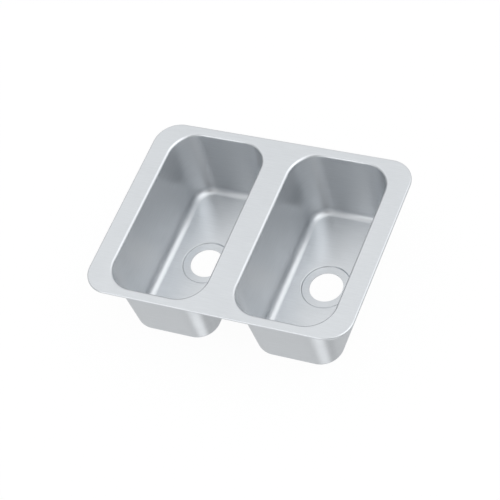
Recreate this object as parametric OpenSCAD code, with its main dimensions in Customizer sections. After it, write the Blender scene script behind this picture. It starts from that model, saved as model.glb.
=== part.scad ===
// Double bowl sink with a drop-in rim. The origin is the centre of the counter cut-out, at the counter's top.
// X runs along the long side, Y to the back and Z up. Sizes are in millimetres.

/* [Rim] */
// Width of the flat margin at each end, from the rolled edge to the rim's edge
end_flat = 30.5; // [30.5:0.5:80]
// Width of the flat margin at the front and the back
side_flat = 11.5; // [9.5:0.5:60]
// Plan radius of the rim's corners
rim_corner_r = 40; // [20:1:60]
// Thickness of the steel sheet
sheet_t = 1.2; // [0.8:0.1:1.5]
// Height of the rim above the counter
lip_h = 3.2; // [2.6:0.1:6]
// Outer radius of the bend into the turned-down edge
edge_r = 2; // [1.6:0.1:2.5]

/* [Bowls] */
// Width of a bowl's opening
bowl_w = 155; // [130:1:300]
// Length of a bowl's opening, front to back
bowl_l = 298; // [240:1:420]
// Plan radius of the opening's corners
bowl_corner_r = 43; // [34:1:60]
// Width of the deck between the two openings
bridge_w = 47; // [24:1:60]
// Depth from the top of the rim to the floor
bowl_depth = 126; // [90:1:220]
// Draft of the walls, in degrees
wall_draft = 5; // [2:0.5:6]
// Radius where the walls meet the floor
foot_r = 12; // [6:0.5:14]
// Radius of the rolled edge round the opening
roll_r = 4; // [2.5:0.1:4.5]
// Depth of the seam between the deck's collar and the bowl, from the top of the rim
seam_depth = 9; // [7:0.5:20]
// Height of the seam's bead on the outside
bead_r = 0.9; // [0.4:0.1:1.2]

/* [Drains] */
// Diameter of the drain hole
drain_d = 52.6; // [40:0.2:60]
// Diameter of the recessed seat round the hole
seat_d = 78.8; // [66:0.2:90]
// Depth of the seat below the floor round it
seat_drop = 1.5; // [0.5:0.1:4]
// Radius inside the bends of the seat's step
seat_bend_r = 0.5; // [0.2:0.1:0.8]
// Distance from the dished part of the floor to where the floor curves up
dish_margin = 3.8; // [1:0.2:10]
// Fall of the floor towards the seat
dish_fall = 0.6; // [0.2:0.1:1.5]

/* [Seal] */
// Width of the strip under the rim
seal_w = 7.5; // [5:0.5:9]

/* [Clip rails] */
// Distance from the rim's edge to the rail's inner side
rail_inset = 30.2; // [23.2:0.1:30.4]
// Distance from the rim's front or back edge to the rail's end
rail_end = 44.5; // [36:0.5:70]
// Width of the rail's C section
rail_w = 14; // [13:0.5:15]
// Height of the rail's C section
rail_h = 9; // [8:0.5:12]
// Thickness of the rail
rail_t = 1.2; // [1:0.1:1.5]
// Radius inside the rail's bends
rail_bend_r = 0.8; // [0.4:0.1:1.2]

/* [Clips] */
// Distance of each clip from the end of its rail
clip_inset = 46; // [44:1:70]
// Diameter of the hanger bolt
bolt_d = 5; // [4:0.1:5]
// Length of the hanger bolt below the underside of its head
bolt_l = 36; // [34:1:60]
// Thickness of the bolt's head
bolt_head_t = 3; // [2:0.1:4]
// Width of the claw's strip
claw_w = 12; // [10:0.5:13]
// Thickness of the claw's strip
claw_t = 2; // [1.5:0.1:2.5]
// Distance from the bolt to the claw's teeth
claw_reach = 24; // [18:0.5:27]
// Height of the teeth over the underside of the claw
claw_rise = 6; // [5:0.5:9]
// Height of the heel over the underside of the claw
heel_rise = 4; // [4:0.5:6]
// Radius inside the claw's bends
claw_bend_r = 1; // [0.5:0.1:1.5]
// Diameter of the washer
washer_d = 10; // [8:0.5:12]
// Thickness of the washer
washer_t = 1; // [0.6:0.1:1.6]
// Height of the wing nut's hub
nut_h = 5; // [4:0.5:6]
// Diameter of the hub where it meets the washer
nut_d = 9; // [8.5:0.1:10]
// Diameter of the hub at its foot
nut_foot_d = 7; // [6.5:0.1:8]
// Span of the wings, tip to tip
wing_span = 20; // [16:0.5:22]
// Thickness of the wings
wing_t = 2; // [1.5:0.1:3]

/* [Sound pads] */
// Thickness of each pad
pad_t = 2.6; // [2.4:0.1:4]
// Plan radius of the pad's corners
pad_corner_r = 8; // [2:1:16]
// Distance from a pad to where the floor curves up
pad_margin = 13.5; // [4:0.5:18]
// Distance from a pad to the dished part of the floor
pad_gap = 2; // [0.5:0.5:8]

/* [Hidden] */

$fn = 96;
overrun = 1;            // how far a cut runs past the face that it opens
running_gap = 0.1;      // radial clearance of a washer, nut or claw on its bolt
head_gap = 0.05;        // clearance under a bolt's head in the rail
slot_gap = 0.4;         // clearance each side of a bolt in the rail's slot
stake_r = 0.25;         // how far the flattened end of a bolt stands past its thread
stake_h = 0.8;          // length of the flattened end
tooth_h = 2;            // depth of the notches between a claw's teeth
teeth = 3;              // teeth on a claw
front = -1;
back = 1;
left = -1;
right = 1;
lap = 0.5;              // how far a formed edge and the flat sheet run into each other
tuck = 0.0002;          // how far a drafted wall starts inside its arc

steel = [0.80, 0.82, 0.84];
weld_metal = [0.62, 0.63, 0.64];
rubber = [0.16, 0.16, 0.17];
zinc = [0.72, 0.73, 0.75];
pad_grey = [0.24, 0.25, 0.26];

// Heights
deck_under = lip_h - sheet_t;
floor_z = lip_h - bowl_depth;
seam_z = lip_h - seam_depth;
rail_under = deck_under - rail_h;
head_under = rail_under + rail_t + head_gap;
bolt_end = head_under - bolt_l;
nut_under = bolt_end + stake_h + head_gap;
washer_under = nut_under + nut_h;
claw_under = washer_under + washer_t;

// The rim, as wide as its bowls, bridge and margins need
rim_w = bridge_w + 2 * (bowl_w + roll_r + end_flat);
rim_d = bowl_l + 2 * (roll_r + side_flat);

// Plan places
bowl_x = (bridge_w + bowl_w) / 2;
rail_x = rim_w / 2 - rail_inset + rail_w / 2;
rail_l = rim_d - 2 * rail_end;
clip_y = rail_l / 2 - clip_inset;

// Section of a wall. s runs outward from the plan corner's axis, so the opening is at s = bowl_corner_r.
roll_s = bowl_corner_r + roll_r * cos(wall_draft);
roll_z = lip_h - roll_r;
opening_z = roll_z + roll_r * sin(wall_draft);
wall_across = sheet_t / cos(wall_draft);
foot_z = floor_z + foot_r;
foot_s = wall_s(foot_z) - foot_r / cos(wall_draft);

// The flat of the floor, and what takes its size from it
flat_w = bowl_w - 2 * (bowl_corner_r - foot_s);
flat_l = bowl_l - 2 * (bowl_corner_r - foot_s);
dish_d = flat_w - 2 * dish_margin;
pad_w = flat_w - 2 * pad_margin;
pad_l = (flat_l - dish_d) / 2 - pad_gap - pad_margin;

function wall_s(z) = bowl_corner_r - (opening_z - z) * tan(wall_draft);

// A section swept round a rounded rectangle. The section's X is measured from the axis of the plan corner.
module swept(w, l, r) {
    for (turn = [0 : 3]) {
        odd = turn % 2;
        side = odd ? l : w;
        run = (odd ? w : l) - 2 * r;
        rotate(90 * turn) translate([side / 2 - r, run / 2, 0]) {
            rotate_extrude(angle = 90) children();
            rotate([90, 0, 0]) linear_extrude(run) children();
        }
    }
}

module rounded_rectangle(w, l, r) {
    square([w - 2 * r, l], center = true);
    square([w, l - 2 * r], center = true);
    for (x = [-1, 1], y = [-1, 1]) translate([x * (w / 2 - r), y * (l / 2 - r)]) circle(r);
}

// A drafted wall meets its arc in direction `meet` from the arc's centre, a hair inside it, so the two cross
function wall_start(r, meet) = (r - tuck) * [cos(meet), sin(meet)];

// What lies under the deck's surface and behind the wall, for the outer face at roll_r or the inner at less
module behind_roll(r) {
    meet = 180 - wall_draft;
    down = 2 * seam_depth * [-sin(wall_draft), -cos(wall_draft)];
    translate([roll_s, roll_z]) {
        circle(r);
        polygon([
            [2 * roll_r, r],
            [0, r],
            wall_start(r, meet),
            wall_start(r, meet) + down,
            [2 * roll_r, down.y]
        ]);
    }
}

// What lies over the floor and within the wall, for the inner face at foot_r or the outer at more
module within_foot(r) {
    meet = -wall_draft;
    up = 2 * bowl_depth * [sin(wall_draft), cos(wall_draft)];
    translate([foot_s, foot_z]) {
        circle(r);
        polygon([
            [-foot_s, -r],
            [0, -r],
            wall_start(r, meet),
            wall_start(r, meet) + up,
            [-foot_s, 2 * bowl_depth]
        ]);
    }
}

// The deck's rolled edge, cut off where the flat sheet takes over and at the seam
module collar_section() {
    difference() {
        behind_roll(roll_r);
        behind_roll(roll_r - sheet_t);
        translate([0, seam_z - 4 * seam_depth]) square([2 * roll_s, 4 * seam_depth]);
        translate([roll_s + 2 * lap, seam_z - overrun]) square([2 * roll_s, 4 * seam_depth]);
    }
}

// Half of the floor, the foot and the wall, cut off at the seam
module bowl_section() {
    difference() {
        within_foot(foot_r + sheet_t);
        within_foot(foot_r);
        translate([0, seam_z]) square([2 * bowl_corner_r, 2 * bowl_depth]);
    }
}

// Sheet or strip bent square, from a tail along -X at the bottom to a tail up along +Y
module square_bend(r_in, r_out, tail_x, tail_y) {
    thick = r_out - r_in;
    intersection() {
        difference() {
            circle(r_out);
            circle(r_in);
        }
        translate([0, -r_out]) square(r_out);
    }
    translate([-tail_x, -r_out]) square([tail_x, thick]);
    translate([r_in, 0]) square([thick, tail_y]);
}

// The turned-down edge of the rim
module lip_section() {
    translate([rim_corner_r - edge_r, lip_h - edge_r]) mirror([0, 1])
        square_bend(edge_r - sheet_t, edge_r, 2 * lap, lip_h - edge_r);
}

module bead_section() {
    difference() {
        translate([wall_s(seam_z) + wall_across, seam_z]) circle(bead_r);
        polygon([
            [0, seam_z - 2 * bead_r],
            [wall_s(seam_z - 2 * bead_r) + wall_across, seam_z - 2 * bead_r],
            [wall_s(seam_z + 2 * bead_r) + wall_across, seam_z + 2 * bead_r],
            [0, seam_z + 2 * bead_r]
        ]);
    }
}

module deck_plate() {
    edge_in = edge_r + lap;
    hole_s = roll_s + lap;
    hole_out = hole_s - bowl_corner_r;
    color(steel) {
        translate([0, 0, deck_under]) linear_extrude(sheet_t) difference() {
            rounded_rectangle(rim_w - 2 * edge_in, rim_d - 2 * edge_in, rim_corner_r - edge_in);
            for (side = [left, right]) translate([side * bowl_x, 0])
                rounded_rectangle(bowl_w + 2 * hole_out, bowl_l + 2 * hole_out, hole_s);
        }
        swept(rim_w, rim_d, rim_corner_r) lip_section();
        for (side = [left, right]) translate([side * bowl_x, 0, 0])
            swept(bowl_w, bowl_l, bowl_corner_r) collar_section();
    }
}

// What an arc of radius r eases off a corner, where a side from -X turns up by `turn` degrees
module corner_easing(r, turn) {
    translate([-r * tan(turn / 2), r]) difference() {
        polygon([[0, 0], [0, -2 * r], 2 * r * [sin(turn), -cos(turn)]]);
        circle(r);
    }
}

// The pressing below the floor: a shallow dish, then a step of 45 degrees down to the drain's seat.
// The step's two bends take the radii given, as far as its height lets them.
module drain_pressing(edge_r_wanted, base_r_wanted) {
    edge = [seat_d / 2, -dish_fall];
    base = edge - [seat_drop, seat_drop];
    dish_slope = atan(dish_fall / (dish_d / 2 - edge.x));
    rotate_extrude() difference() {
        union() {
            polygon([[0, base.y], base, edge, [dish_d / 2, 0], [0, 0]]);
            translate(edge) rotate(180 + dish_slope)
                corner_easing(min(edge_r_wanted, seat_drop), 45 - dish_slope);
        }
        translate(base) corner_easing(min(base_r_wanted, seat_drop), 45);
    }
}

module bowl(side) {
    color(steel) translate([side * bowl_x, 0, 0]) difference() {
        union() {
            swept(bowl_w, bowl_l, bowl_corner_r) bowl_section();
            translate([0, 0, floor_z - sheet_t]) linear_extrude(sheet_t)
                square([bowl_w, bowl_l] - 2 * (bowl_corner_r - lap) * [1, 1], center = true);
            translate([0, 0, floor_z - sheet_t]) drain_pressing(seat_bend_r, seat_bend_r + sheet_t);
        }
        translate([0, 0, floor_z]) {
            drain_pressing(seat_bend_r + sheet_t, seat_bend_r);
            cylinder(h = overrun, d = dish_d);
        }
        translate([0, 0, floor_z - bowl_depth]) cylinder(h = bowl_depth, d = drain_d);
    }
}

module bowl_weld(side) {
    color(weld_metal) translate([side * bowl_x, 0, 0]) swept(bowl_w, bowl_l, bowl_corner_r) bead_section();
}

module rim_seal() {
    color(rubber) swept(rim_w, rim_d, rim_corner_r)
        translate([rim_corner_r - edge_r - seal_w, 0]) square([seal_w, deck_under]);
}

module clip_rail(side) {
    slot_w = bolt_d + 2 * slot_gap;
    color(steel) translate([side * rail_x, rail_l / 2, rail_under]) rotate([90, 0, 0]) linear_extrude(rail_l)
        difference() {
            translate([0, rail_h / 2]) rounded_rectangle(rail_w, rail_h, rail_bend_r + rail_t);
            translate([0, rail_h / 2])
                rounded_rectangle(rail_w - 2 * rail_t, rail_h - 2 * rail_t, rail_bend_r);
            translate([-slot_w / 2, -overrun]) square([slot_w, rail_t + 2 * overrun]);
        }
}

// Puts a clip's piece at its place on the rail
module at_clip(side, end) {
    translate([side * rail_x, end * clip_y, 0]) children();
}

// Its square head rides between the rail's bends and can't turn, and its flattened end keeps the nut on
module hanger_bolt(side, end) {
    head_w = rail_w - 2 * (rail_t + rail_bend_r);
    color(zinc) at_clip(side, end) {
        translate([-head_w / 2, -head_w / 2, head_under]) cube([head_w, head_w, bolt_head_t]);
        translate([0, 0, bolt_end]) cylinder(h = bolt_l, d = bolt_d);
        translate([0, 0, bolt_end]) cylinder(h = stake_h, d = bolt_d + 2 * stake_r);
    }
}

// A strip with its toothed tip and its heel turned up
module claw(side, end) {
    bend_out_r = claw_bend_r + claw_t;
    heel = claw_w / 2;
    tooth_w = claw_w / teeth;
    color(zinc) at_clip(side, end) translate([0, 0, claw_under]) rotate(90 * end) difference() {
        rotate([90, 0, 0]) translate([0, bend_out_r, -claw_w / 2]) linear_extrude(claw_w) {
            translate([claw_reach - bend_out_r, 0])
                square_bend(claw_bend_r, bend_out_r, claw_reach - bend_out_r, claw_rise - bend_out_r);
            translate([bend_out_r - heel, 0]) mirror([1, 0])
                square_bend(claw_bend_r, bend_out_r, heel - bend_out_r, heel_rise - bend_out_r);
        }
        translate([0, 0, -overrun]) cylinder(h = claw_t + 2 * overrun, d = bolt_d + 2 * running_gap);
        for (notch = [1 : teeth - 1])
            translate([claw_reach - claw_t - overrun, notch * tooth_w - claw_w / 2, claw_rise])
                rotate([90, 0, 90]) linear_extrude(claw_t + 2 * overrun)
                    polygon([[-tooth_h / 2, overrun], [0, -tooth_h], [tooth_h / 2, overrun]]);
    }
}

module washer(side, end) {
    color(zinc) at_clip(side, end) translate([0, 0, washer_under]) difference() {
        cylinder(h = washer_t, d = washer_d);
        translate([0, 0, -overrun]) cylinder(h = washer_t + 2 * overrun, d = bolt_d + 2 * running_gap);
    }
}

// Outline of both wings, seen from the side: each leaves the hub and ends in a round tip below it
module wings_outline() {
    tip_r = nut_h / 2;
    tip_x = wing_span / 2 - tip_r;
    for (way = [-1, 1]) scale([way, 1]) {
        translate([tip_x, -tip_r / 2]) circle(tip_r);
        polygon([
            [0, nut_h - wing_t], [tip_x, tip_r / 2], [tip_x, -3 * tip_r / 2], [nut_foot_d / 2, 0], [0, 0]
        ]);
    }
}

module wing_nut(side, end) {
    color(zinc) at_clip(side, end) translate([0, 0, nut_under]) difference() {
        union() {
            cylinder(h = nut_h, d1 = nut_foot_d, d2 = nut_d);
            rotate([90, 0, 90]) linear_extrude(wing_t, center = true) wings_outline();
        }
        translate([0, 0, -nut_h]) cylinder(h = 3 * nut_h, d = bolt_d + 2 * running_gap);
    }
}

module pad(side, end) {
    pad_y = dish_d / 2 + pad_gap + pad_l / 2;
    color(pad_grey) translate([side * bowl_x, end * pad_y, floor_z - sheet_t - pad_t])
        linear_extrude(pad_t) rounded_rectangle(pad_w, pad_l, pad_corner_r);
}

deck_plate();
bowl(left);  // left_bowl
bowl(right);  // right_bowl
bowl_weld(left);  // left_bowl_weld
bowl_weld(right);  // right_bowl_weld
rim_seal();
clip_rail(left);  // left_clip_rail
clip_rail(right);  // right_clip_rail

hanger_bolt(left, front);  // left_front_hanger_bolt
claw(left, front);  // left_front_claw
washer(left, front);  // left_front_washer
wing_nut(left, front);  // left_front_wing_nut

hanger_bolt(left, back);  // left_back_hanger_bolt
claw(left, back);  // left_back_claw
washer(left, back);  // left_back_washer
wing_nut(left, back);  // left_back_wing_nut

hanger_bolt(right, front);  // right_front_hanger_bolt
claw(right, front);  // right_front_claw
washer(right, front);  // right_front_washer
wing_nut(right, front);  // right_front_wing_nut

hanger_bolt(right, back);  // right_back_hanger_bolt
claw(right, back);  // right_back_claw
washer(right, back);  // right_back_washer
wing_nut(right, back);  // right_back_wing_nut

pad(left, front);  // left_front_pad
pad(left, back);  // left_back_pad
pad(right, front);  // right_front_pad
pad(right, back);  // right_back_pad
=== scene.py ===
import math

import bmesh
import bpy
from bpy.props import FloatProperty, FloatVectorProperty, IntProperty, PointerProperty
from mathutils import Matrix, Vector


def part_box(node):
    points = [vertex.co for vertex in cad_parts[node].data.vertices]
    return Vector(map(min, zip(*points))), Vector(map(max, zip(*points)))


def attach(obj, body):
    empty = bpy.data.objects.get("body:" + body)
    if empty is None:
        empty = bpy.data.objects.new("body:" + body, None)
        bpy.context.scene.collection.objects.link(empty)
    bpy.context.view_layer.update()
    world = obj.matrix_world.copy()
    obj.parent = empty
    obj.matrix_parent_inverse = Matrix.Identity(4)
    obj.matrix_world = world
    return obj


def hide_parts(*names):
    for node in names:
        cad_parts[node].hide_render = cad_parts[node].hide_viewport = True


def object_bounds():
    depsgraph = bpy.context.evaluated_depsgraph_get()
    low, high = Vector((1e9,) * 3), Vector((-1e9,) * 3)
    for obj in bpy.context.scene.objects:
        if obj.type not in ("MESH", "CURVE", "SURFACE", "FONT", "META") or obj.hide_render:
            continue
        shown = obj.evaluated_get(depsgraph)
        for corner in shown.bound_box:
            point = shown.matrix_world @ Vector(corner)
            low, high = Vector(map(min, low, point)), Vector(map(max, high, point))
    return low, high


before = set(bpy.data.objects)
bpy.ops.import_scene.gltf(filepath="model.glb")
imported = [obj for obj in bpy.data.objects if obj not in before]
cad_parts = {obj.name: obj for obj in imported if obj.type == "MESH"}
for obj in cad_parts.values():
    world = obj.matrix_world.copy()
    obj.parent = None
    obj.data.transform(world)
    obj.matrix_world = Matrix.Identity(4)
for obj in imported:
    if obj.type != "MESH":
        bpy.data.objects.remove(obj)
cad_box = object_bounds()

bl_info = {
    "name": "Double bowl sink",
    "version": (1, 0, 0),
    "blender": (4, 5, 0),
    "location": "View3D > Sidebar > Sink",
    "description": "Satin steel sink with two bowls, its clamping clips and a pale studio",
    "category": "Add Mesh",
}

MM = 0.001
TURN = 2 * math.pi
# Points closer than this are one
SAME_PLACE = 0.001 * MM
WHITE = (1, 1, 1, 1)
# Most of a noise's values lie between these
NOISE_LOW, NOISE_HIGH = 0.3, 0.7
SIDES = ("left", "right")
CLIPS = [(side, end) for side in SIDES for end in ("front", "back")]
# Signs of a rectangle's corners, in the order that plans go round them
CORNERS = ((1, 1), (-1, 1), (-1, -1), (1, -1))
RIM_LOW, RIM_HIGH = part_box("deck_plate")

# The studio round the sink, by direction. The light falls off from the key's direction by these levels, each
# given for the cosine of the angle from it.
KEY = (0.35, 0.20, 0.91)
KEY_FALL = ((-1.0, 0.74), (-0.55, 0.74), (-0.10, 0.54), (0.36, 0.90),
            (0.60, 0.85), (0.75, 1.05), (0.90, 1.48), (1.0, 1.60))
# Cards and flags that brighten or darken a round patch of it: direction, half the patch's width in degrees,
# and the change of level at its middle
CARDS = {
    "softbox": ((0.62, -0.44, 0.65), 24, 0.40),
    "side_card": ((0.79, 0.00, 0.61), 31, 0.68),
    "left_card": ((-0.60, 0.15, 0.78), 28, 0.35),
    "front_flag": ((0.30, -0.67, 0.67), 25, -0.60),
    "corner_flag": ((0.04, -0.74, 0.67), 20, -0.40),
    "ceiling_flag": ((-0.36, -0.34, 0.87), 24, -0.20),
    "back_card": ((-0.44, 0.56, 0.70), 20, 0.10),
    "deck_flag": ((-0.27, 0.38, 0.88), 14, -0.22),
    "low_card": ((0.19, -0.45, -0.87), 19, 0.85),
    "low_flag": ((0.50, -0.17, -0.85), 16, -0.20),
    "foot_card": ((-0.37, -0.80, 0.47), 16, 0.80),
    "front_window": ((-0.35, -0.90, 0.30), 45, 0.35),
    "front_strip": ((-0.38, -0.92, 0.10), 30, 0.45),
    "back_flag": ((-0.75, 0.65, -0.10), 50, -0.30),
}


class SinkSizes(bpy.types.PropertyGroup):
    """Sizes of the sink and its clips, in metres"""
    sheet: FloatProperty(name="Sheet", description="Thickness of the steel sheet",
                         default=1.2 * MM, min=0.5 * MM, unit="LENGTH")
    rim_corner: FloatProperty(name="Rim corner", description="Plan radius of the rim's corners",
                              default=40 * MM, unit="LENGTH")
    rim_edge: FloatProperty(name="Rim edge", description="Outer radius of the bend into the turned-down edge",
                            default=2 * MM, unit="LENGTH")
    bowl_width: FloatProperty(name="Bowl width", description="Width of a bowl's opening",
                              default=155 * MM, unit="LENGTH")
    bowl_length: FloatProperty(name="Bowl length", description="Length of a bowl's opening, front to back",
                               default=298 * MM, unit="LENGTH")
    bowl_corner: FloatProperty(name="Bowl corner", description="Plan radius of the opening's corners",
                               default=43 * MM, unit="LENGTH")
    corner_ease: FloatProperty(name="Corner ease",
                               description="How far the sheet bends in before a bowl's corner",
                               default=18 * MM, min=1 * MM, unit="LENGTH")
    bowl_depth: FloatProperty(name="Bowl depth", description="From the top of the rim to the floor",
                              default=126 * MM, unit="LENGTH")
    draft: FloatProperty(name="Draft", description="Lean of the bowl's walls",
                         default=math.radians(5), subtype="ANGLE")
    roll: FloatProperty(name="Rolled edge", description="Radius of the edge rolled over into each bowl",
                        default=4 * MM, unit="LENGTH")
    foot: FloatProperty(name="Foot", description="Radius where the walls meet the floor",
                        default=12 * MM, unit="LENGTH")
    drain: FloatProperty(name="Drain hole", description="Diameter of the drain hole",
                         default=52.6 * MM, unit="LENGTH")
    seat: FloatProperty(name="Drain seat", description="Diameter of the recessed seat round the hole",
                        default=78.8 * MM, unit="LENGTH")
    seat_drop: FloatProperty(name="Seat depth", description="Depth of the seat below the floor round it",
                             default=1.85 * MM, unit="LENGTH")
    seat_bend: FloatProperty(name="Seat bend", description="Radius inside the bends of the seat's step",
                             default=0.5 * MM, unit="LENGTH")
    dish: FloatProperty(name="Dish", description="Diameter of the dished part of the floor",
                        default=104 * MM, unit="LENGTH")
    dish_fall: FloatProperty(name="Dish fall", description="Fall of the floor towards the seat",
                             default=0.25 * MM, unit="LENGTH")
    bead: FloatProperty(name="Weld bead", description="Height of the seam's bead on the outside",
                        default=0.9 * MM, unit="LENGTH")
    bead_pitch: FloatProperty(name="Bead ripple", description="Distance between two ripples of the bead",
                              default=2.4 * MM, unit="LENGTH")
    thread_pitch: FloatProperty(name="Thread pitch", description="Rise of the bolts' thread in one turn",
                                default=0.8 * MM, unit="LENGTH")
    thread: FloatProperty(name="Thread", description="Outer diameter of the hanger bolts' thread",
                          default=5 * MM, unit="LENGTH")
    bolt_head: FloatProperty(name="Bolt head", description="Height of the hanger bolts' square heads",
                             default=3 * MM, unit="LENGTH")
    seal_width: FloatProperty(name="Seal width", description="Width of the foam strip under the rim",
                              default=7.5 * MM, unit="LENGTH")
    seal_edge: FloatProperty(name="Seal edge", description="Radius of the foam strip's edges",
                             default=0.7 * MM, unit="LENGTH")
    corner_steps: IntProperty(name="Corner steps", description="Steps round each corner of a plan",
                              default=24, min=6)


class SinkFinish(bpy.types.PropertyGroup):
    """Colours and finishes of the sink's materials"""
    steel: FloatVectorProperty(name="Steel", description="Colour of the satin sheet", subtype="COLOR",
                               default=(0.67, 0.69, 0.71), min=0, max=1)
    steel_roughness: FloatProperty(name="Satin", description="Roughness of the satin sheet",
                                   default=0.36, min=0, max=1, subtype="FACTOR")
    brushed: FloatProperty(name="Brushed", description="How far the grain draws out the sheet's reflections",
                           default=0.75, min=0, max=1, subtype="FACTOR")
    weld: FloatVectorProperty(name="Weld", description="Colour of the bead", subtype="COLOR",
                              default=(0.42, 0.40, 0.38), min=0, max=1)
    zinc: FloatVectorProperty(name="Zinc", description="Colour of the plated clips", subtype="COLOR",
                              default=(0.62, 0.64, 0.67), min=0, max=1)
    foam: FloatVectorProperty(name="Foam", description="Colour of the strip under the rim", subtype="COLOR",
                              default=(0.030, 0.030, 0.033), min=0, max=1)
    pad: FloatVectorProperty(name="Pad", description="Colour of the sound pads", subtype="COLOR",
                             default=(0.055, 0.058, 0.062), min=0, max=1)


class SinkStage(bpy.types.PropertyGroup):
    """Camera, floor and light"""
    azimuth: FloatProperty(name="Azimuth", description="Direction of the camera round the sink",
                           default=math.radians(36.85), subtype="ANGLE")
    elevation: FloatProperty(name="Elevation", description="Height of the camera over the horizon",
                             default=math.radians(51.53), subtype="ANGLE")
    roll: FloatProperty(name="Roll", description="Roll of the camera about its line of sight",
                        default=math.radians(-19.27), subtype="ANGLE")
    distance: FloatProperty(name="Distance", description="From the camera to the point it looks at",
                            default=2.571, unit="LENGTH")
    aim: FloatVectorProperty(name="Aim", description="The point that the camera looks at",
                             default=(0.0187, -0.0420, RIM_HIGH.z), subtype="XYZ", unit="LENGTH")
    lens: FloatProperty(name="Lens", description="Focal length on a 36 mm sensor, in millimetres",
                        default=125.7, min=1)
    floor: FloatVectorProperty(name="Floor", description="Colour of the floor", subtype="COLOR",
                               default=(0.95, 0.95, 0.95), min=0, max=1)
    floor_white: FloatProperty(name="Floor white", description="Share of plain white in the floor as seen",
                               default=0.96, min=0, max=1, subtype="FACTOR")
    floor_size: FloatProperty(name="Floor size", description="Width of the floor", default=9, unit="LENGTH")
    light: FloatProperty(name="Light", description="Strength of the studio's light", default=1.02, min=0)
    light_tint: FloatVectorProperty(name="Light tint", description="Colour of the studio's light",
                                    subtype="COLOR", default=(0.985, 0.993, 1.0), min=0, max=1)


def heading(angle):
    """The unit vector at an angle in radians."""
    return Vector((math.cos(angle), math.sin(angle)))


# Sections: a section is a list of segments. A segment is a pair of ends, and an end is a point and the line
# of its normal.

def line(*points):
    """Straight segments from point to point."""
    made = []
    for start, end in zip(points, points[1:]):
        start, end = Vector(start), Vector(end)
        normal = (end - start).normalized().orthogonal()
        made.append(((start, normal), (end, normal)))
    return made


def arc(centre, radius, first, last, steps):
    """Segments round a centre, between two angles in radians."""
    ends = []
    for i in range(steps + 1):
        way = heading(first + (last - first) * i / steps)
        ends.append((Vector(centre) + radius * way, way))
    return list(zip(ends, ends[1:]))


# Plans: a plan is a closed list of stations. A station is the axis that a section turns about and its outward
# direction. A third entry is the direction that its normals take, where that is another.

def corner_axis(corner, centre, width, length, radius):
    """The axis of a rounded rectangle's corner."""
    x, y = CORNERS[corner % len(CORNERS)]
    return Vector(centre) + Vector((x * (width / 2 - radius), y * (length / 2 - radius)))


def rounded_plan(centre, width, length, radius, steps, spacing=0.0):
    """A rounded rectangle. Straight sides get a station every `spacing`, if that is given."""
    stations = []
    for corner in range(len(CORNERS)):
        axis = corner_axis(corner, centre, width, length, radius)
        stations += [(axis, heading((corner + i / steps) * TURN / 4)) for i in range(steps + 1)]
        if spacing:
            goal = corner_axis(corner + 1, centre, width, length, radius)
            count = max(1, round((goal - axis).length / spacing))
            stations += [(axis.lerp(goal, k / count), stations[-1][1]) for k in range(1, count)]
    return stations


def pressed_plan(centre, width, length, radius, steps, ease):
    """A rounded rectangle whose normals turn gently into its corners, as they do on drawn sheet."""
    run = radius * TURN / 4

    def turned(at):
        """Sum of the corner's turn up to a place along it."""
        return max(0, at) ** 2 / (2 * run) if at < run else at - run / 2

    soft_steps = 4
    places = [-ease * k / soft_steps for k in range(soft_steps, 0, -1)]
    places += [run * i / steps for i in range(steps + 1)]
    places += [run + ease * k / soft_steps for k in range(1, soft_steps + 1)]
    stations = []
    for corner in range(len(CORNERS)):
        axis = corner_axis(corner, centre, width, length, radius)
        for at in places:
            on_arc = min(run, max(0, at))
            out = heading((corner + on_arc / run) * TURN / 4)
            shade = heading((corner + (turned(at + ease) - turned(at - ease)) / (2 * ease)) * TURN / 4)
            stations.append((axis + (at - on_arc) * out.orthogonal(), out, shade))
    return stations


def rim_plan(sizes):
    """The rim's outline."""
    return rounded_plan((0, 0), RIM_HIGH.x - RIM_LOW.x, RIM_HIGH.y - RIM_LOW.y, sizes.rim_corner,
                        sizes.corner_steps)


def round_plan(centre, steps):
    """A circle."""
    return [(Vector(centre), heading(TURN * i / steps)) for i in range(steps)]


def place(station, point):
    """Where a section's point lies at a station."""
    axis, way = station[:2]
    return Vector((axis.x + point.x * way.x, axis.y + point.x * way.y, point.y))


def placed(name, data):
    """A new object in the scene."""
    made = bpy.data.objects.new(name, data)
    bpy.context.scene.collection.objects.link(made)
    return made


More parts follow.
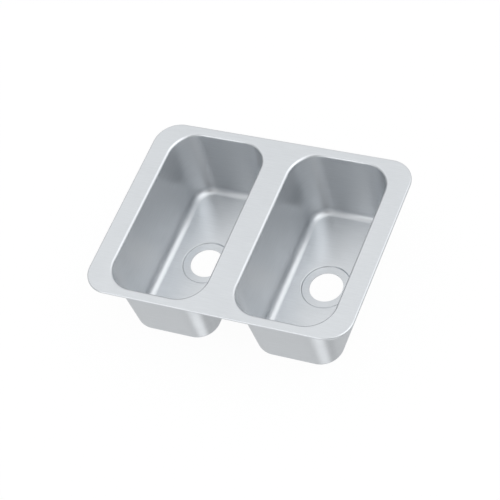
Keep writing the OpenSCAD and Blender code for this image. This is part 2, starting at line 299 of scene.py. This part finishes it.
class Skin:
    """A mesh in the making. Its corners carry the grain's direction and the smooth normals."""

    def __init__(self):
        self.bm = bmesh.new()
        self.grain = self.bm.loops.layers.uv.new("grain")
        self.shade = self.bm.loops.layers.float_vector.new("shade")

    def face(self, corners):
        """Adds a face from corners of (place, normal, grain place)."""
        made = self.bm.faces.new([self.bm.verts.new(at) for at, _, _ in corners])
        for loop, (_, normal, grain) in zip(made.loops, corners):
            loop[self.shade] = normal
            loop[self.grain].uv = grain

    def sweep(self, plan, section, ripple=None, straight=False):
        """Carries a section round a plan. A ripple scales it at each station.

        The grain runs round the plan, but on level faces it stays straight where that is asked for."""
        around = [0.0]
        reach = Vector((section[0][0][0].x, 0))
        for a, b in zip(plan, plan[1:] + plan[:1]):
            around.append(around[-1] + (place(a, reach) - place(b, reach)).length)

        def corner(i, step, point, normal, along):
            """A face's corner at a station, or with step 1 at the next one."""
            at = (i + step) % len(plan)
            shading = (Vector((0, 0)), plan[at][-1])
            shaped = ripple(at, point) if ripple else point
            return place(plan[at], shaped), place(shading, normal), (around[i + step], along)

        for i in range(len(plan)):
            length = 0.0
            for (start, start_normal), (end, end_normal) in section:
                following = length + (end - start).length
                first, second = (start, start_normal, length), (end, end_normal, following)
                corners = [corner(i, 0, *first), corner(i, 1, *first), corner(i, 1, *second),
                           corner(i, 0, *second)]
                level = abs(start_normal.y + end_normal.y) > 1
                if straight and level:
                    corners = [(at, normal, at.xy) for at, normal, _ in corners]
                self.face(corners)
                length = following

    def cover(self, loops, up):
        """Fills the flat between closed loops of places. It faces up with 1 and down with -1."""
        edges = []
        for loop in loops:
            verts = [self.bm.verts.new(at) for at in loop]
            edges += [self.bm.edges.new(pair) for pair in zip(verts, verts[1:] + verts[:1])]
        filled = bmesh.ops.triangle_fill(self.bm, use_beauty=True, edges=edges, normal=(0, 0, up))
        for made in filled["geom"]:
            if isinstance(made, bmesh.types.BMFace):
                for loop in made.loops:
                    loop[self.shade] = (0, 0, up)
                    loop[self.grain].uv = loop.vert.co.xy

    def piece(self, name, material):
        """Closes the mesh and makes the object."""
        bmesh.ops.remove_doubles(self.bm, verts=self.bm.verts, dist=2 * SAME_PLACE)
        bmesh.ops.dissolve_degenerate(self.bm, edges=self.bm.edges, dist=SAME_PLACE)
        bmesh.ops.recalc_face_normals(self.bm, faces=self.bm.faces)
        for face in self.bm.faces:
            for loop in face.loops:
                if loop[self.shade].dot(face.normal) < 0:
                    loop[self.shade] = -loop[self.shade]
        mesh = bpy.data.meshes.new(name)
        self.bm.to_mesh(mesh)
        self.bm.free()
        mesh.shade_smooth()
        shade = mesh.attributes["shade"]
        mesh.normals_split_custom_set([tuple(item.vector) for item in shade.data])
        mesh.attributes.remove(mesh.attributes["shade"])
        mesh.materials.append(material)
        return placed(name, mesh)


class Wall:
    """The line of a bowl's drafted wall, measured outward from the axis of the opening's corner."""

    def __init__(self, sizes):
        self.top = RIM_HIGH.z
        self.seam = RIM_LOW.z
        self.lean = sizes.draft
        self.roll_at = Vector((sizes.bowl_corner + sizes.roll * math.cos(self.lean), self.top - sizes.roll))
        self.opening = self.roll_at.y + sizes.roll * math.sin(self.lean)
        self.across = sizes.sheet / math.cos(self.lean)
        self.corner = sizes.bowl_corner
        self.floor = self.top - sizes.bowl_depth
        foot_z = self.floor + sizes.foot
        self.foot_at = Vector((self.inner(foot_z) - sizes.foot / math.cos(self.lean), foot_z))

    def inner(self, z):
        """The inside face at a height."""
        return self.corner - (self.opening - z) * math.tan(self.lean)

    def outer(self, z):
        """The outside face at a height."""
        return self.inner(z) + self.across


def bowl_centre(side):
    """The middle of a bowl, from the place of its pads."""
    low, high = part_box(f"{side}_front_pad")
    return Vector(((low.x + high.x) / 2, 0))


def bowl_plan(side, sizes):
    """The outline of a bowl's opening."""
    return pressed_plan(bowl_centre(side), sizes.bowl_width, sizes.bowl_length, sizes.bowl_corner,
                        sizes.corner_steps, sizes.corner_ease)


def finished(made, body, material_slot, *nodes):
    """Puts a piece on its body, in place of the nodes that it stands for."""
    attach(made, body)
    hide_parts(*nodes)


# Materials

class Shading:
    """A node tree in the making, of a material or of the world."""

    def __init__(self, owner):
        owner.use_nodes = True
        self.nodes = owner.node_tree.nodes
        self.links = owner.node_tree.links

    def set(self, node, name, value):
        """Links an input or sets its value. The input is named, or counted from 0."""
        socket = node.inputs[name]
        if isinstance(value, bpy.types.NodeSocket):
            self.links.new(value, socket)
        else:
            socket.default_value = value

    def add(self, kind, *values, **named_values):
        """A new node, with its inputs set in their order or by their names."""
        node = self.nodes.new(kind)
        for i, value in enumerate(values):
            self.set(node, i, value)
        for name, value in named_values.items():
            self.set(node, name.replace("_", " "), value)
        return node

    def math(self, operation, first, second):
        """The sum or product of two numbers."""
        node = self.add("ShaderNodeMath", first, second)
        node.operation = operation
        return node.outputs["Value"]

    def ranged(self, value, low, high, start=NOISE_LOW, end=NOISE_HIGH, kind="LINEAR"):
        """A number that runs from low to high as a value runs from start to end."""
        node = self.add("ShaderNodeMapRange", value, start, end, low, high)
        node.interpolation_type = kind
        return node.outputs["Result"]

    def white_rays(self):
        """1 for the rays that see plain white, which are the camera's and those that pass through glass."""
        path = self.add("ShaderNodeLightPath")
        return self.math("ADD", path.outputs["Is Camera Ray"], path.outputs["Is Transmission Ray"])


class Finish(Shading):
    """A node material in the making, with a principled shader at its end."""

    def __init__(self, name):
        self.material = bpy.data.materials.new(name)
        super().__init__(self.material)
        self.shader = self.nodes["Principled BSDF"]

    def places(self):
        """Places in the piece's own space."""
        return self.add("ShaderNodeTexCoord").outputs["Object"]

    def noise(self, scale, detail=2.0, rough=0.5, places=None):
        """Cloudy noise. A larger scale makes it finer."""
        node = self.add("ShaderNodeTexNoise", Vector=places or self.places(), Scale=scale, Detail=detail,
                        Roughness=rough)
        return node.outputs["Fac"]

    def lines(self, along, across, detail, rough):
        """Noise drawn out along the sheet's grain, with so many waves in a metre along it and across it."""
        layer = self.add("ShaderNodeUVMap")
        layer.uv_map = "grain"
        drawn = self.add("ShaderNodeMapping", Vector=layer.outputs["UV"], Scale=(along, across, 1))
        return self.noise(1, detail, rough, drawn.outputs["Vector"])

    def tint(self, value, colour, dark, light):
        """The colour, darkened and lightened by shares as a noise changes."""
        ramp = self.add("ShaderNodeValToRGB", value)
        stops = ramp.color_ramp.elements
        for stop, position, share in zip(stops, (NOISE_LOW, NOISE_HIGH), (dark, light)):
            stop.position = position
            stop.color = (*[min(1, c * share) for c in colour], 1)
        return ramp.outputs["Color"]

    def bump(self, height, strength, depth):
        """Small relief."""
        node = self.add("ShaderNodeBump", Height=height, Strength=strength, Distance=depth)
        self.set(self.shader, "Normal", node.outputs["Normal"])

    def done(self, **inputs):
        """Sets the shader's inputs and gives the material."""
        for name, value in inputs.items():
            self.set(self.shader, name.replace("_", " "), value)
        return self.material


def satin_steel(finish):
    """Satin sheet: fine lines and longer streaks along the grain, a little uneven in gloss."""
    made = Finish("satin_steel")
    lines = made.lines(along=45, across=5200, detail=3, rough=0.6)
    streaks = made.lines(along=30, across=620, detail=2, rough=0.5)
    both = made.ranged(made.math("ADD", lines, streaks), low=0, high=1, start=0, end=2)
    colour = made.tint(both, finish.steel, dark=0.95, light=1.05)
    rough, uneven = finish.steel_roughness, 0.025
    gloss = made.ranged(made.noise(scale=26), rough - uneven, rough + uneven)
    made.bump(lines, strength=0.12, depth=0.02 * MM)
    across = made.add("ShaderNodeTangent")
    across.direction_type = "UV_MAP"
    across.uv_map = "grain"
    return made.done(Base_Color=colour, Metallic=1.0, Roughness=gloss, Anisotropic=finish.brushed,
                     Anisotropic_Rotation=0.25, Tangent=across.outputs["Tangent"])


# The next two finishes aren't made while the CAD brings materials of the same names, see material()

def weld_metal(finish):
    """Bead left as welded: dull, with straw and grey heat tints."""
    made = Finish("weld_metal")
    cloud = made.noise(scale=180, detail=3)
    made.bump(made.noise(scale=1500), strength=0.3, depth=0.05 * MM)
    return made.done(Base_Color=made.tint(cloud, finish.weld, dark=0.75, light=1.15), Metallic=1.0,
                     Roughness=made.ranged(cloud, low=0.38, high=0.55))


def plated_steel(finish):
    """Bright zinc with the faint bloom of a barrel-plated part."""
    made = Finish("plated_steel")
    cloud = made.noise(scale=220, detail=3)
    made.bump(made.noise(scale=900), strength=0.2, depth=0.03 * MM)
    return made.done(Base_Color=made.tint(cloud, finish.zinc, dark=0.88, light=1.08), Metallic=1.0,
                     Roughness=made.ranged(cloud, low=0.26, high=0.42))


def foam_strip(finish):
    """Closed-cell foam: small pits all over, each painted darker towards its middle as painted shade."""
    made = Finish("foam_strip")
    cells = made.add("ShaderNodeTexVoronoi", Vector=made.places(), Scale=2600)
    pits = cells.outputs["Distance"]
    made.bump(pits, strength=0.5, depth=0.12 * MM)
    # The colour follows the pits' depth and is darkest at their bottoms: painted shade in the hollows.
    return made.done(Base_Color=made.tint(pits, finish.foam, dark=0.6, light=1.3), Roughness=0.92,
                     Specular_IOR_Level=0.25)


def pad_rubber(finish):
    """Dense pad with a fine pebbled face."""
    made = Finish("pad_rubber")
    pebbles = made.noise(scale=1300, detail=4, rough=0.65)
    made.bump(pebbles, strength=0.45, depth=0.1 * MM)
    return made.done(Base_Color=made.tint(made.noise(scale=60), finish.pad, dark=0.85, light=1.15),
                     Roughness=made.ranged(pebbles, low=0.7, high=0.88))


def material(make, finish):
    """One material of each kind, made when it is first asked for.

    A material that the CAD brings under the same name is taken as it is: weld_metal and plated_steel are."""
    return bpy.data.materials.get(make.__name__) or make(finish)


# Pieces

def collar_section(sizes, wall):
    """The rolled edge of an opening, from the deck's top over the roll to the seam, and back underneath."""
    inside = sizes.roll - sizes.sheet
    steps = 10
    first, last = TURN / 4, TURN / 2 - wall.lean
    return (
        arc(wall.roll_at, sizes.roll, first, last, steps)
        + line((wall.inner(wall.opening), wall.opening), (wall.inner(wall.seam), wall.seam),
               (wall.outer(wall.seam), wall.seam), wall.roll_at + inside * heading(last))
        + arc(wall.roll_at, inside, last, first, steps)
    )


def lip_section(sizes, top):
    """The rim's turned-down edge, with its cut end lightly broken."""
    out, bend, sheet = sizes.rim_corner, sizes.rim_edge, sizes.sheet
    centre = Vector((out - bend, top - bend))
    broken = 0.2 * MM
    steps = 8
    return (
        arc(centre, bend, TURN / 4, 0, steps)
        + line((out, top - bend), (out, broken), (out - broken, 0), (out - sheet + broken, 0),
               (out - sheet, broken), (out - sheet, top - bend))
        + arc(centre, bend - sheet, 0, TURN / 4, steps)
    )


def make_deck(sizes, finish):
    """The flat rim with its two rolled openings and its turned-down edge."""
    wall = Wall(sizes)
    under = wall.top - sizes.sheet
    rim = rim_plan(sizes)
    openings = [bowl_plan(side, sizes) for side in SIDES]
    skin = Skin()
    skin.sweep(rim, lip_section(sizes, wall.top))
    for plan in openings:
        skin.sweep(plan, collar_section(sizes, wall))
    for height, up in ((wall.top, 1), (under, -1)):
        edge = [place(station, Vector((sizes.rim_corner - sizes.rim_edge, height))) for station in rim]
        holes = [[place(station, Vector((wall.roll_at.x, height))) for station in plan] for plan in openings]
        skin.cover([edge, *holes], up)
    made = skin.piece("deck", material(satin_steel, finish))
    finished(made, "sink", "sheet_steel", "deck_plate")


def seat_step(sizes, top, edge_bend, foot_bend):
    """One face of the pressing, from the edge of the dish over the seat's step of 45 degrees to its foot."""
    slope = TURN / 8
    edge = Vector((sizes.seat / 2, top - sizes.dish_fall))
    foot = edge - sizes.seat_drop * Vector((1, 1))
    lean = math.atan2(sizes.dish_fall, sizes.dish / 2 - edge.x)
    on_dish = edge + edge_bend * math.tan((slope - lean) / 2) * heading(lean)
    edge_at = on_dish - edge_bend * heading(lean).orthogonal()
    on_step = foot + foot_bend * math.tan(slope / 2) * heading(slope)
    foot_at = on_step + foot_bend * heading(slope).orthogonal()
    steps = 5
    bend = arc(edge_at, edge_bend, TURN / 4 + lean, TURN / 4 + slope, steps)
    hollow = arc(foot_at, foot_bend, -slope, -TURN / 4, steps)
    return line((sizes.dish / 2, top), on_dish) + bend + line(bend[-1][1][0], hollow[0][0][0]) + hollow


def drain_section(sizes, wall):
    """From the flat of the floor down the dish and the seat's step to the hole, and back underneath."""
    hole_r, broken = sizes.drain / 2, 0.15 * MM
    top = seat_step(sizes, wall.floor, sizes.seat_bend + sizes.sheet, sizes.seat_bend)
    below = seat_step(sizes, wall.floor - sizes.sheet, sizes.seat_bend, sizes.seat_bend + sizes.sheet)
    seat, under = top[-1][1][0], below[-1][1][0]
    return (
        top
        + line(seat, (hole_r + broken, seat.y), (hole_r, seat.y - broken), (hole_r, under.y + broken),
               (hole_r + broken, under.y), under)
        + [(end, start) for start, end in reversed(below)]
    )


def make_bowl(side, sizes, finish):
    """A pressed bowl, from the ground seam down to its drain."""
    wall = Wall(sizes)
    steps = 12
    foot, sheet = sizes.foot, sizes.sheet
    turned = -wall.lean
    centre = bowl_centre(side)
    plan = bowl_plan(side, sizes)
    section = (
        arc(wall.foot_at, foot + sheet, -TURN / 4, turned, steps)
        + line(wall.foot_at + (foot + sheet) * heading(turned), (wall.outer(wall.seam), wall.seam),
               (wall.inner(wall.seam), wall.seam), wall.foot_at + foot * heading(turned))
        + arc(wall.foot_at, foot, turned, -TURN / 4, steps)
    )
    skin = Skin()
    skin.sweep(plan, section)
    drain = round_plan(centre, 4 * sizes.corner_steps)
    skin.sweep(drain, drain_section(sizes, wall), straight=True)
    for height, up in ((wall.floor, 1), (wall.floor - sheet, -1)):
        edge = [place(station, Vector((wall.foot_at.x, height))) for station in plan]
        hole = [place(station, Vector((sizes.dish / 2, height))) for station in drain]
        skin.cover([edge, hole], up)
    made = skin.piece(f"{side}_bowl_shell", material(satin_steel, finish))
    finished(made, "sink", "sheet_steel", f"{side}_bowl")


def make_seam_bead(side, sizes, finish):
    """The bead on the outside of a seam, rippled as the torch moved."""
    wall = Wall(sizes)
    root = Vector((wall.outer(wall.seam), wall.seam))
    ripple_steps = 6
    spacing = sizes.bead_pitch / ripple_steps
    plan = rounded_plan(bowl_centre(side), sizes.bowl_width, sizes.bowl_length, sizes.bowl_corner,
                        round(sizes.bowl_corner * TURN / 4 / spacing), spacing)
    steps, sunk = 8, 0.1 * MM
    section = (arc(root, sizes.bead, -TURN / 4 - wall.lean, TURN / 4 - wall.lean, steps)
               + line(root + Vector((-sunk, sizes.bead)), root - Vector((sunk, sizes.bead))))
    trough, begin, quickness = 0.80, 0.25, 3

    def ripple(i, point):
        """The bead swells quickly and falls off slowly in each ripple."""
        phase = (i % ripple_steps) / ripple_steps
        swell = math.sqrt(1 - phase) * math.sin(min(1, quickness * phase + begin) * TURN / 4)
        return root + (point - root) * (trough + (1 - trough) * swell)

    skin = Skin()
    skin.sweep(plan, section, ripple)
    made = skin.piece(f"{side}_seam_bead", material(weld_metal, finish))
    finished(made, "sink", "weld_metal", f"{side}_bowl_weld")


def make_rim_seal(sizes, finish):
    """The soft strip under the rim, with rounded corners."""
    low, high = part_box("rim_seal")
    inset = RIM_HIGH.x - high.x
    out = sizes.rim_corner - inset
    width, corner = sizes.seal_width, sizes.seal_edge
    corners = ((out - corner, high.z - corner), (out - corner, corner), (out - width + corner, corner),
               (out - width + corner, high.z - corner))
    steps = 5
    section = []
    for i, centre in enumerate(corners):
        bend = arc(centre, corner, (1 - i) * TURN / 4, -i * TURN / 4, steps)
        if section:
            section += line(section[-1][1][0], bend[0][0][0])
        section += bend
    section += line(section[-1][1][0], section[0][0][0])
    skin = Skin()
    skin.sweep(rim_plan(sizes), section)
    made = skin.piece("rim_seal_strip", material(foam_strip, finish))
    finished(made, "sink", "seal_foam", "rim_seal")


def shade_by_angle(bm, sharp):
    """Smooth faces, with a sharp edge wherever two of them meet at this angle or more."""
    for face in bm.faces:
        face.smooth = True
    for edge in bm.edges:
        edge.smooth = not edge.is_manifold or edge.calc_face_angle() < sharp


def closed(bm, name, made_of):
    """The object of a finished mesh."""
    mesh = bpy.data.meshes.new(name)
    bm.to_mesh(mesh)
    bm.free()
    mesh.materials.append(made_of)
    return placed(name, mesh)


def refined(node, name, made_of, bevel, segments=2, sharp=math.radians(28)):
    """A copy of a node's shape with its triangles joined into faces and its edges broken."""
    bm = bmesh.new()
    bm.from_mesh(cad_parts[node].data)
    nearly_flat = math.radians(0.5)
    bmesh.ops.remove_doubles(bm, verts=bm.verts, dist=SAME_PLACE)
    bmesh.ops.dissolve_limit(bm, angle_limit=nearly_flat, verts=bm.verts, edges=bm.edges)
    edges = [edge for edge in bm.edges if edge.is_manifold and edge.calc_face_angle() > sharp]
    bmesh.ops.bevel(bm, geom=edges, offset=bevel, offset_type="OFFSET", segments=segments, profile=0.5,
                    affect="EDGES", clamp_overlap=True)
    shade_by_angle(bm, sharp)
    return closed(bm, name, made_of)


def thread_height(phase):
    """Height of a thread's flank over its root, from 0 to 1, over one pitch."""
    root_flat, flank = 0.12, 0.72
    rise = abs(2 * (phase % 1) - 1)
    return min(1, max(0, (rise - root_flat) / flank))


def make_hanger_bolt(side, end, sizes, finish):
    """A bolt with a rolled thread, a square head and a flattened end."""
    node = f"{side}_{end}_hanger_bolt"
    low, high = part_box(node)
    centre = (low + high) / 2
    head_under = high.z - sizes.bolt_head
    thread_r, thread_depth = sizes.thread / 2, 0.45 * MM
    # The end is flattened, so that the nut can't come off: radius and height over the bolt's lowest point
    flattened = ((2.4 * MM, 0), (2.75 * MM, 0.2 * MM), (2.75 * MM, 0.6 * MM))
    end_length, plain_length = 0.8 * MM, 1.5 * MM
    bottom, top = low.z + end_length, head_under - plain_length
    # Steps round the bolt, rows in one turn of the thread, and turns over which it runs out at each end
    steps, rows, run_out = 28, 6, 0.8
    bm = bmesh.new()

    def ring(z, radius_at):
        """A ring of points whose radius may change round it."""
        points = []
        for j in range(steps):
            angle = TURN * j / steps
            radius = radius_at(angle)
            points.append(bm.verts.new((centre.x + radius * math.cos(angle),
                                        centre.y + radius * math.sin(angle), z)))
        return points

    rings = [ring(low.z + z, lambda angle, r=radius: r) for radius, z in flattened]
    count = round((top - bottom) / sizes.thread_pitch * rows)
    for k in range(count + 1):
        z = bottom + (top - bottom) * k / count
        depth = thread_depth * min(1, (k / rows) / run_out, ((count - k) / rows) / run_out)
        rings.append(ring(z, lambda angle: thread_r - depth
                          * (1 - thread_height(z / sizes.thread_pitch - angle / TURN))))
    rings.append(ring(head_under, lambda angle: thread_r))
    for a, b in zip(rings, rings[1:]):
        for j in range(steps):
            bm.faces.new((a[j], a[(j + 1) % steps], b[(j + 1) % steps], b[j]))
    bm.faces.new(rings[0][::-1])
    bm.faces.new(rings[-1])
    head = bmesh.ops.create_cube(bm, size=1)["verts"]
    width = high.x - low.x
    for vert in head:
        vert.co = Vector((centre.x + vert.co.x * width, centre.y + vert.co.y * width,
                          (head_under + high.z) / 2 + vert.co.z * sizes.bolt_head))
    head_edges = list({edge for vert in head for edge in vert.link_edges})
    bmesh.ops.bevel(bm, geom=head_edges, offset=0.35 * MM, segments=3, profile=0.5, affect="EDGES")
    shade_by_angle(bm, sharp=math.radians(50))
    made = closed(bm, f"{side}_{end}_threaded_bolt", material(plated_steel, finish))
    finished(made, f"{side}_{end}_hanger", "plated_steel", node)


def forged(made, voxel, smoothing):
    """Melts a piece's edges and inner corners into the round forms of a forging."""
    bpy.context.view_layer.objects.active = made
    remesh = made.modifiers.new("melt", "REMESH")
    remesh.mode = "VOXEL"
    remesh.voxel_size = voxel
    remesh.use_smooth_shade = True
    soften = made.modifiers.new("soften", "SMOOTH")
    soften.factor = 0.5
    soften.iterations = smoothing
    for modifier in (remesh.name, soften.name):
        bpy.ops.object.modifier_apply(modifier=modifier)


def aimed_camera(stage):
    """The photograph's camera: turned round the sink, raised, and rolled about its line of sight."""
    a, e, r = stage.azimuth, stage.elevation, stage.roll
    back = Vector((math.sin(a) * math.cos(e), -math.cos(a) * math.cos(e), math.sin(e)))
    right = (-back).cross(Vector((0, 0, 1))).normalized()
    up = right.cross(-back)
    rolled_right = math.cos(r) * right + math.sin(r) * up
    rolled_up = math.cos(r) * up - math.sin(r) * right
    turned = Matrix((rolled_right, rolled_up, back)).transposed().to_4x4()
    return Matrix.Translation(Vector(stage.aim) + stage.distance * back) @ turned


def studio_light(stage):
    """Soft light that the steel mirrors by direction, behind a white backdrop."""
    world = bpy.data.worlds.new("studio")
    tree = Shading(world)
    tree.nodes.clear()
    way = tree.add("ShaderNodeTexCoord").outputs["Generated"]

    def facing(direction):
        """Cosine of the angle between the way and a direction."""
        node = tree.add("ShaderNodeVectorMath", way, Vector(direction).normalized())
        node.operation = "DOT_PRODUCT"
        return node.outputs["Value"]

    ramp = tree.add("ShaderNodeValToRGB", tree.ranged(facing(KEY), low=0, high=1, start=-1, end=1))
    stops = ramp.color_ramp.elements
    while len(stops) < len(KEY_FALL):
        stops.new(1)
    for stop, (cosine, level) in zip(stops, KEY_FALL):
        stop.position = (cosine + 1) / 2
        stop.color = (level, level, level, 1)
    level = ramp.outputs["Color"]
    for direction, reach, change in CARDS.values():
        edge = math.cos(math.radians(reach))
        patch = tree.ranged(facing(direction), low=0, high=change, start=edge, end=1, kind="SMOOTHSTEP")
        level = tree.math("ADD", level, patch)

    light = tree.add("ShaderNodeBackground", Color=(*stage.light_tint, 1),
                     Strength=tree.math("MULTIPLY", level, stage.light))
    white = tree.add("ShaderNodeBackground", Color=WHITE)
    mix = tree.add("ShaderNodeMixShader", tree.white_rays(), light.outputs["Background"],
                   white.outputs["Background"])
    tree.add("ShaderNodeOutputWorld", Surface=mix.outputs["Shader"])
    return world


def pale_floor(stage):
    """A floor that takes the sink's shadow and shows white to the camera, but doesn't show in the steel."""
    made = bpy.data.materials.new("pale_floor")
    tree = Shading(made)
    tree.nodes.clear()
    matt = tree.add("ShaderNodeBsdfDiffuse", Color=(*stage.floor, 1))
    white = tree.add("ShaderNodeEmission", Color=WHITE)
    share = tree.math("MULTIPLY", tree.white_rays(), stage.floor_white)
    whitened = tree.add("ShaderNodeMixShader", share, matt.outputs["BSDF"], white.outputs["Emission"])
    path, clear = tree.add("ShaderNodeLightPath"), tree.add("ShaderNodeBsdfTransparent")
    mirrored = tree.add("ShaderNodeMixShader", path.outputs["Is Glossy Ray"], whitened.outputs["Shader"],
                        clear.outputs["BSDF"])
    tree.add("ShaderNodeOutputMaterial", Surface=mirrored.outputs["Shader"])
    return made


# Operators

class DOUBLESINK_OT_stage(bpy.types.Operator):
    """Make the camera, the floor and the light"""
    bl_idname = "double_sink.stage"
    bl_label = "Stage"

    def execute(self, context):
        scene = context.scene
        stage = scene.sink_stage
        scene.view_settings.view_transform = "Standard"
        camera = bpy.data.cameras.new("camera")
        camera.lens = stage.lens
        camera.sensor_width = 36
        scene.camera = placed("camera", camera)
        scene.camera.matrix_world = aimed_camera(stage)

        half, ground = stage.floor_size / 2, cad_box[0].z
        mesh = bpy.data.meshes.new("floor")
        mesh.from_pydata([(x * half, y * half, ground) for x, y in CORNERS], [], [(0, 1, 2, 3)])
        mesh.materials.append(pale_floor(stage))
        placed("floor", mesh)
        scene.world = studio_light(stage)
        return {"FINISHED"}


class DOUBLESINK_OT_deck(bpy.types.Operator):
    """Make the flat rim with its rolled openings"""
    bl_idname = "double_sink.deck"
    bl_label = "Deck"

    def execute(self, context):
        make_deck(context.scene.sink_sizes, context.scene.sink_finish)
        return {"FINISHED"}


class DOUBLESINK_OT_bowls(bpy.types.Operator):
    """Make the two pressed bowls"""
    bl_idname = "double_sink.bowls"
    bl_label = "Bowls"

    def execute(self, context):
        for side in SIDES:
            make_bowl(side, context.scene.sink_sizes, context.scene.sink_finish)
        return {"FINISHED"}


class DOUBLESINK_OT_seam_beads(bpy.types.Operator):
    """Make the weld beads outside the seams"""
    bl_idname = "double_sink.seam_beads"
    bl_label = "Seam beads"

    def execute(self, context):
        for side in SIDES:
            make_seam_bead(side, context.scene.sink_sizes, context.scene.sink_finish)
        return {"FINISHED"}


class DOUBLESINK_OT_rim_seal(bpy.types.Operator):
    """Make the foam strip under the rim"""
    bl_idname = "double_sink.rim_seal"
    bl_label = "Rim seal"

    def execute(self, context):
        make_rim_seal(context.scene.sink_sizes, context.scene.sink_finish)
        return {"FINISHED"}


class DOUBLESINK_OT_clip_rails(bpy.types.Operator):
    """Make the rails that the clips slide in"""
    bl_idname = "double_sink.clip_rails"
    bl_label = "Clip rails"

    def execute(self, context):
        for side in SIDES:
            made = refined(f"{side}_clip_rail", f"{side}_folded_rail",
                           material(plated_steel, context.scene.sink_finish), bevel=0.3 * MM)
            finished(made, "sink", "rail_steel", f"{side}_clip_rail")
        return {"FINISHED"}


class DOUBLESINK_OT_hanger_bolts(bpy.types.Operator):
    """Make the threaded bolts that hang in the rails"""
    bl_idname = "double_sink.hanger_bolts"
    bl_label = "Hanger bolts"

    def execute(self, context):
        for side, end in CLIPS:
            make_hanger_bolt(side, end, context.scene.sink_sizes, context.scene.sink_finish)
        return {"FINISHED"}


class DOUBLESINK_OT_claws(bpy.types.Operator):
    """Make the toothed claws that grip the counter"""
    bl_idname = "double_sink.claws"
    bl_label = "Claws"

    def execute(self, context):
        for side, end in CLIPS:
            clip = f"{side}_{end}"
            made = refined(f"{clip}_claw", f"{clip}_bent_claw",
                           material(plated_steel, context.scene.sink_finish), bevel=0.2 * MM)
            finished(made, f"{clip}_clamp", "plated_steel", f"{clip}_claw")
        return {"FINISHED"}


class DOUBLESINK_OT_washers(bpy.types.Operator):
    """Make the washers between the nuts and the claws"""
    bl_idname = "double_sink.washers"
    bl_label = "Washers"

    def execute(self, context):
        for side, end in CLIPS:
            clip = f"{side}_{end}"
            made = refined(f"{clip}_washer", f"{clip}_punched_washer",
                           material(plated_steel, context.scene.sink_finish), bevel=0.15 * MM)
            finished(made, f"{clip}_lift_washer", "plated_steel", f"{clip}_washer")
        return {"FINISHED"}


class DOUBLESINK_OT_wing_nuts(bpy.types.Operator):
    """Make the wing nuts"""
    bl_idname = "double_sink.wing_nuts"
    bl_label = "Wing nuts"

    def execute(self, context):
        for side, end in CLIPS:
            clip = f"{side}_{end}"
            made = refined(f"{clip}_wing_nut", f"{clip}_forged_nut",
                           material(plated_steel, context.scene.sink_finish), bevel=0.1 * MM)
            forged(made, voxel=0.22 * MM, smoothing=5)
            finished(made, f"{clip}_nut", "plated_steel", f"{clip}_wing_nut")
        return {"FINISHED"}


class DOUBLESINK_OT_sound_pads(bpy.types.Operator):
    """Make the sound pads under the bowls"""
    bl_idname = "double_sink.sound_pads"
    bl_label = "Sound pads"

    def execute(self, context):
        for side, end in CLIPS:
            node = f"{side}_{end}_pad"
            made = refined(node, f"{node}_pressed", material(pad_rubber, context.scene.sink_finish),
                           bevel=0.6 * MM, segments=3)
            finished(made, "sink", "sound_pad", node)
        return {"FINISHED"}


STEPS = (
    DOUBLESINK_OT_stage, DOUBLESINK_OT_deck, DOUBLESINK_OT_bowls, DOUBLESINK_OT_seam_beads,
    DOUBLESINK_OT_rim_seal, DOUBLESINK_OT_clip_rails, DOUBLESINK_OT_hanger_bolts, DOUBLESINK_OT_claws,
    DOUBLESINK_OT_washers, DOUBLESINK_OT_wing_nuts, DOUBLESINK_OT_sound_pads,
)


class DOUBLESINK_PT_build(bpy.types.Panel):
    """Buttons and sizes for the sink"""
    bl_idname = "DOUBLESINK_PT_build"
    bl_label = "Double bowl sink"
    bl_space_type = "VIEW_3D"
    bl_region_type = "UI"
    bl_category = "Sink"

    def draw(self, context):
        for step in STEPS:
            self.layout.operator(step.bl_idname)
        for group in (context.scene.sink_sizes, context.scene.sink_finish, context.scene.sink_stage):
            box = self.layout.box()
            for name in group.bl_rna.properties.keys():
                if name not in ("rna_type", "name"):
                    box.prop(group, name)


CLASSES = (SinkSizes, SinkFinish, SinkStage, *STEPS, DOUBLESINK_PT_build)


def register():
    for cls in CLASSES:
        bpy.utils.register_class(cls)
    bpy.types.Scene.sink_sizes = PointerProperty(type=SinkSizes)
    bpy.types.Scene.sink_finish = PointerProperty(type=SinkFinish)
    bpy.types.Scene.sink_stage = PointerProperty(type=SinkStage)


def unregister():
    del bpy.types.Scene.sink_sizes
    del bpy.types.Scene.sink_finish
    del bpy.types.Scene.sink_stage
    for cls in reversed(CLASSES):
        bpy.utils.unregister_class(cls)


def main():
    register()
    for step in STEPS:
        group, name = step.bl_idname.split(".")
        getattr(getattr(bpy.ops, group), name)()


if __name__ == "__main__":
    main()
